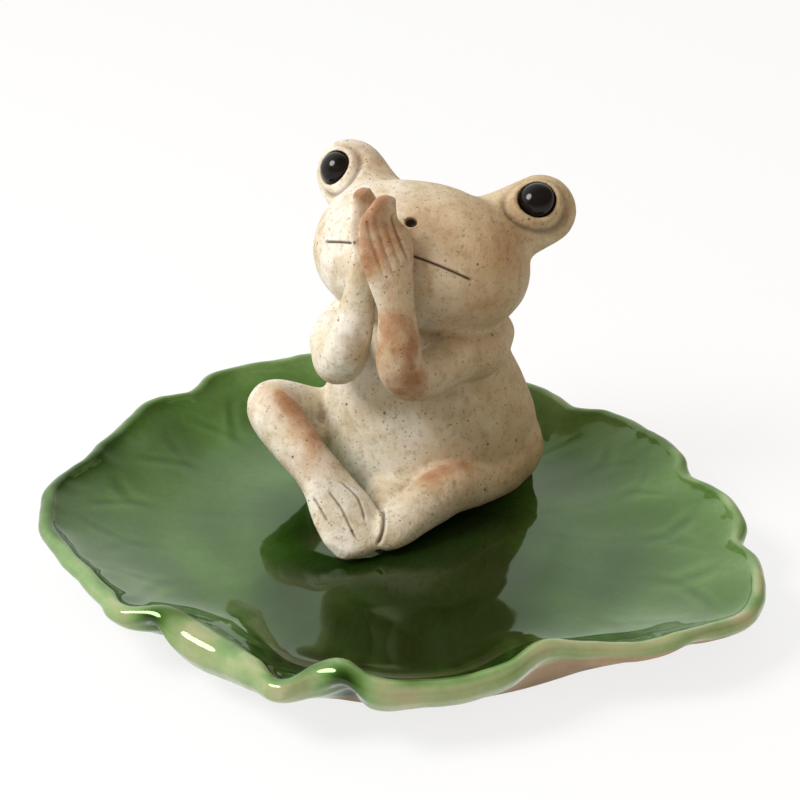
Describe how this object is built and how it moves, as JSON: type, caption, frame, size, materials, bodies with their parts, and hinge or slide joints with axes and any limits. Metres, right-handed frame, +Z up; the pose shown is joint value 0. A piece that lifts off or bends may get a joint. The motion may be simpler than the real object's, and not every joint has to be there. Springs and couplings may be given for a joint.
{
  "type": "tea pet",
  "caption": "Small stoneware frog with hands pressed together, seated towards the back of a glazed lotus-leaf dish with a wavy folded rim.",
  "frame": {"origin": "under the middle of the dish's outline, on the surface that the dish stands on", "axes": "+Z up, the frog looks towards -Y, the frog's left side and the dish's long side are towards +X"},
  "size_m": [0.1166, 0.1038, 0.0617],
  "materials": {
    "leaf_dish": "clear green gloss glaze",
    "frog": "unglazed speckled clay",
    "left_eye_bead": "black gloss",
    "right_eye_bead": "black gloss"
  },
  "bodies": {
    "root": {"leaf_dish": "leaf_dish", "frog": "frog", "left_eye_bead": "left_eye_bead", "right_eye_bead": "right_eye_bead"}
  },
  "joints": []
}
